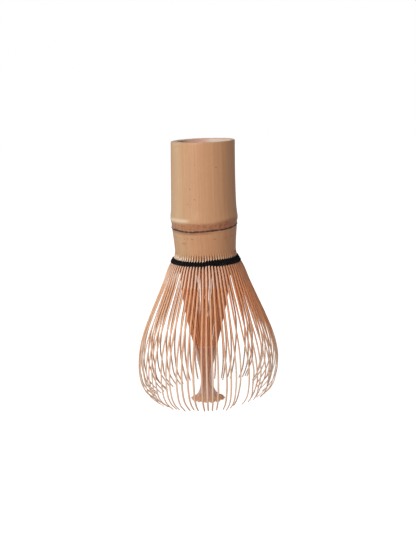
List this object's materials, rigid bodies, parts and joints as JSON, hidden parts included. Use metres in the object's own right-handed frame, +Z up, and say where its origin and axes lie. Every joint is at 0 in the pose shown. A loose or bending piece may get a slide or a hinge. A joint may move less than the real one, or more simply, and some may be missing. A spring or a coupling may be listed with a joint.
{
  "type": "matcha whisk",
  "caption": "Bamboo tea whisk: an open culm handle with a node, split into an outer cage and an inner bundle of fine tines held by laced thread.",
  "frame": {"origin": "on the floor under the middle of the tines, with the whisk standing tines down", "axes": "+Z up the culm towards the cut rim, -Y towards the side seen in the picture, +X to its right"},
  "size_m": [0.0612, 0.0612, 0.1125],
  "materials": {
    "bamboo_skin": "satin",
    "bamboo_slivers": "satin",
    "black_thread": "matte"
  },
  "bodies": {
    "root": {"handle": "bamboo_skin", "outer_tines_01": "bamboo_slivers", "outer_tines_02": "bamboo_slivers", "outer_tines_03": "bamboo_slivers", "outer_tines_04": "bamboo_slivers", "outer_tines_05": "bamboo_slivers", "outer_tines_06": "bamboo_slivers", "outer_tines_07": "bamboo_slivers", "outer_tines_08": "bamboo_slivers", "outer_tines_09": "bamboo_slivers", "outer_tines_10": "bamboo_slivers", "outer_tines_11": "bamboo_slivers", "outer_tines_12": "bamboo_slivers", "inner_tines_01": "bamboo_slivers", "inner_tines_02": "bamboo_slivers", "inner_tines_03": "bamboo_slivers", "inner_tines_04": "bamboo_slivers", "inner_tines_05": "bamboo_slivers", "inner_tines_06": "bamboo_slivers", "inner_tines_07": "bamboo_slivers", "inner_tines_08": "bamboo_slivers", "inner_tines_09": "bamboo_slivers", "inner_tines_10": "bamboo_slivers", "inner_tines_11": "bamboo_slivers", "inner_tines_12": "bamboo_slivers", "lacing_outer": "black_thread", "lacing_inner": "black_thread"}
  },
  "joints": []
}
